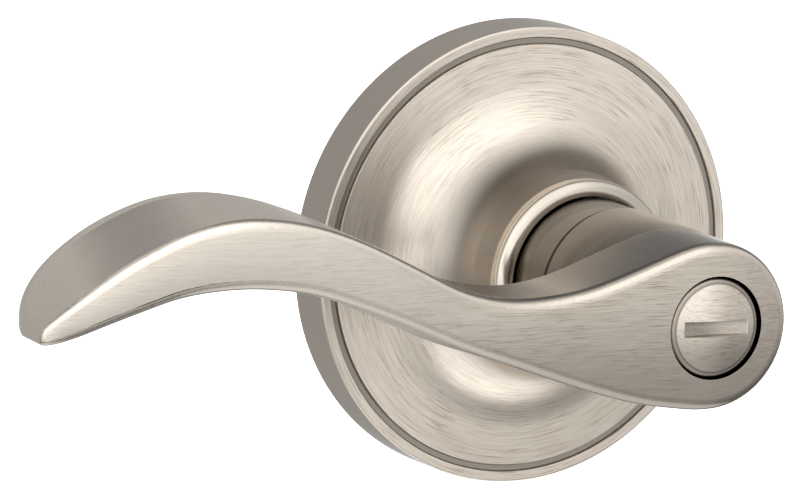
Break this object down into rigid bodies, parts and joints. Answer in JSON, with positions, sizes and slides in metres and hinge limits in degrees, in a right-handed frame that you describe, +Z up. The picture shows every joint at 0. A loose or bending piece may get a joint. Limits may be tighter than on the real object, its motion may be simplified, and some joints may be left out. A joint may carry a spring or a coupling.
{
  "type": "door lever handle",
  "caption": "Waved satin nickel door lever on a round rose, with a push-and-turn privacy button, sprung hub and square spindle for a bored door.",
  "frame": {"origin": "on the lever's turning axis, in the plane of the door's face", "axes": "+Y into the door along the turning axis, +Z up, the arm points to -X"},
  "size_m": [0.139, 0.1087, 0.066],
  "materials": {
    "satin_nickel": "brushed satin nickel plate, warm",
    "satin_nickel_button": "satin nickel plate, brushed along the slot",
    "zinc_plated_steel": "zinc plated, dull",
    "bright_fastener_steel": "bright plated",
    "bare_steel": "machined, oiled",
    "spring_steel": "drawn wire, dark",
    "nylon": "natural nylon, matt"
  },
  "bodies": {
    "rose_assembly": {"rose": "satin_nickel", "mounting_plate": "zinc_plated_steel", "mounting_screws": "bright_fastener_steel", "spring_housing": "zinc_plated_steel", "housing_rivets": "bright_fastener_steel", "housing_cover": "bare_steel", "neck_bearing": "nylon", "rose_clips": "spring_steel", "return_spring": "spring_steel"},
    "lever_assembly": {"lever": "satin_nickel", "neck_ring": "satin_nickel", "drive_sleeve": "bare_steel", "drive_cam": "zinc_plated_steel", "thrust_washer": "bright_fastener_steel", "circlip": "bright_fastener_steel", "spindle_socket": "zinc_plated_steel", "spindle": "bare_steel", "spring_seat": "zinc_plated_steel", "catch_holder": "zinc_plated_steel"},
    "catch_assembly": {"lever_catch": "bare_steel", "catch_spring": "spring_steel"},
    "button_slide": {"button_carrier": "nylon", "button_spring": "spring_steel"},
    "button_assembly": {"turn_button": "satin_nickel_button", "button_rod": "bare_steel", "rod_clip": "bright_fastener_steel"}
  },
  "joints": [
    {"name": "lever_turn", "type": "hinge", "parent": "rose_assembly", "child": "lever_assembly", "pos_m": [0, -0.03, 0], "axis": [0, 1, 0], "range_deg": [-45, 45], "stiffness_Nm_per_rad": 1.6, "springref_deg": 1.72, "deforming": ["return_spring"]},
    {"name": "catch_press", "type": "slide", "parent": "lever_assembly", "child": "catch_assembly", "axis": [0, 0, 1], "range_m": [0, 0.0016], "stiffness_N_per_m": 600, "springref_m": -0.0015, "deforming": ["catch_spring"]},
    {"name": "button_push", "type": "slide", "parent": "lever_assembly", "child": "button_slide", "axis": [0, 1, 0], "range_m": [0, 0.003], "stiffness_N_per_m": 500, "springref_m": -0.002, "deforming": ["button_spring"]},
    {"name": "button_turn", "type": "hinge", "parent": "button_slide", "child": "button_assembly", "pos_m": [0, -0.056, 0], "axis": [0, 1, 0], "range_deg": [0, 90]}
  ]
}
